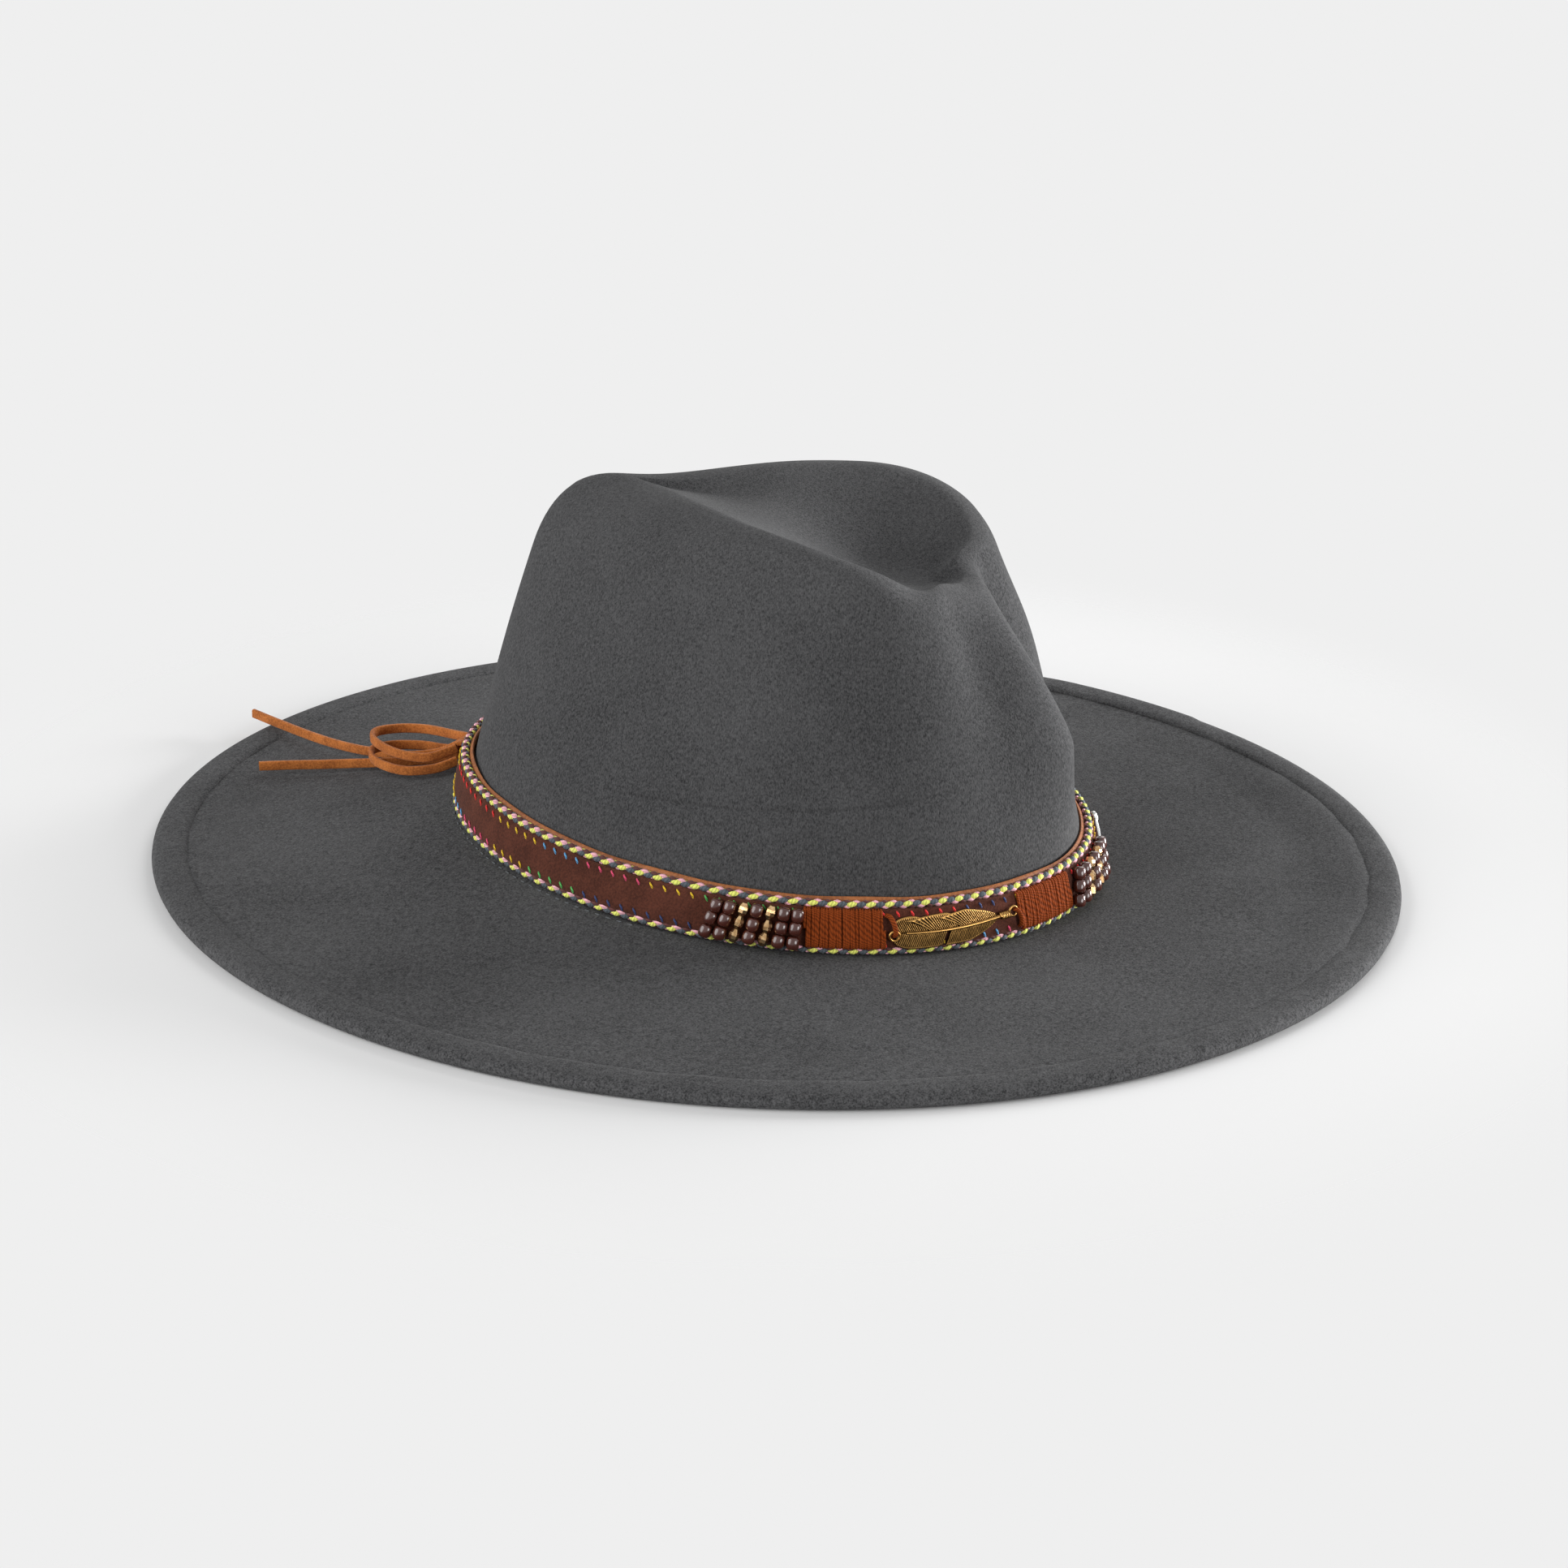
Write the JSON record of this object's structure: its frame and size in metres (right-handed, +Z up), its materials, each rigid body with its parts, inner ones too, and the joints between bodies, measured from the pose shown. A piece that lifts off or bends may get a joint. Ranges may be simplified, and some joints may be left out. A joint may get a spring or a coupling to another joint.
{
  "type": "wide-brim fedora hat",
  "caption": "Wide-brim felt fedora with a teardrop crown, a bound brim edge and a lift-off leather band carrying braids, beads, thread wraps, a feather charm and a bow.",
  "frame": {"origin": "middle of the brim's oval, on the surface that the brim's edge stands on", "axes": "+Z up through the crown, -Y to the front of the hat, +X to the wearer's left"},
  "size_m": [0.3536, 0.3941, 0.118],
  "materials": {
    "felt": "short-napped grey felt",
    "wire": "drawn wire",
    "sweatband": "thin dark leather",
    "tan_leather": "smooth tan leather",
    "suede": "red-brown suede",
    "braid": "four-strand braided thread",
    "wrap_thread": "waxed thread",
    "antique_brass": "antiqued casting",
    "silver": "polished",
    "lace_leather": "flat suede lace",
    "brown_bead": "glossy",
    "gold_bead": "faceted, antiqued"
  },
  "bodies": {
    "hat": {"crown": "felt", "brim": "felt", "brim_binding": "felt", "brim_wire": "wire", "sweatband": "sweatband"},
    "band": {"band_backing": "tan_leather", "band_face": "suede", "upper_braid": "braid", "lower_braid": "braid", "wrap_right_side": "wrap_thread", "wrap_front": "wrap_thread", "feather_charm": "antique_brass", "charm_ring": "antique_brass", "silver_link": "silver", "tie_knot": "lace_leather", "tie_loop_upper": "lace_leather", "tie_loop_lower": "lace_leather", "tie_tail_long": "lace_leather", "tie_tail_short": "lace_leather", "bead_column_side_1": "brown_bead", "bead_column_side_2": "brown_bead", "bead_column_side_3": "gold_bead", "bead_column_side_4": "brown_bead", "bead_column_side_5": "gold_bead", "bead_column_side_6": "brown_bead", "bead_column_side_7": "brown_bead", "bead_column_front_1": "brown_bead", "bead_column_front_2": "brown_bead", "bead_column_front_3": "gold_bead", "bead_column_front_4": "brown_bead", "bead_column_front_5": "gold_bead", "bead_column_front_6": "brown_bead", "bead_column_front_7": "brown_bead"}
  },
  "joints": [
    {"name": "band_lift", "type": "slide", "parent": "hat", "child": "band", "axis": [0, 0, 1], "range_m": [0, 0.14]}
  ]
}
